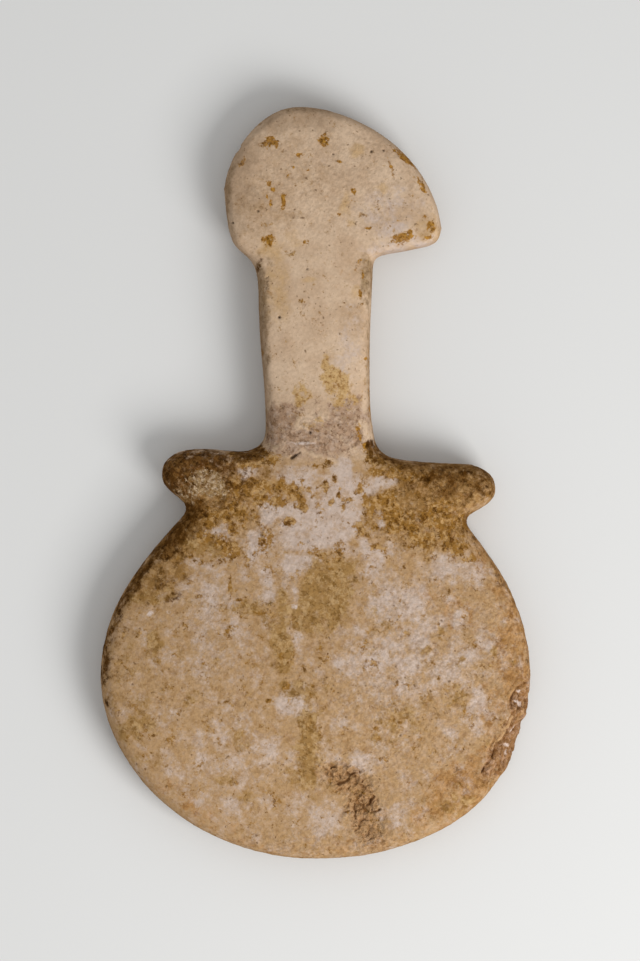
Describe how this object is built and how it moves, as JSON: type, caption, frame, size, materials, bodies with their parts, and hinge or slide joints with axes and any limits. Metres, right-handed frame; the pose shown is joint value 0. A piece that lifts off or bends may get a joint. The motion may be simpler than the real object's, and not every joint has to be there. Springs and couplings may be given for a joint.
{
  "type": "marble idol",
  "caption": "Flat schematic figure of weathered marble: beaked half-dome head, long neck, short arm stubs and a round disc body, lying on its back.",
  "frame": {"origin": "middle of the outline, on the flat plane that the back rests on", "axes": "+Y up the figure to the crown of the head, +X to the right as the carved front is seen, +Z out of the front"},
  "size_m": [0.1146, 0.2, 0.0176],
  "materials": {
    "marble": "weathered matt marble, pale beige with ochre and brown burial stains"
  },
  "bodies": {
    "root": {"idol": "marble"}
  },
  "joints": []
}
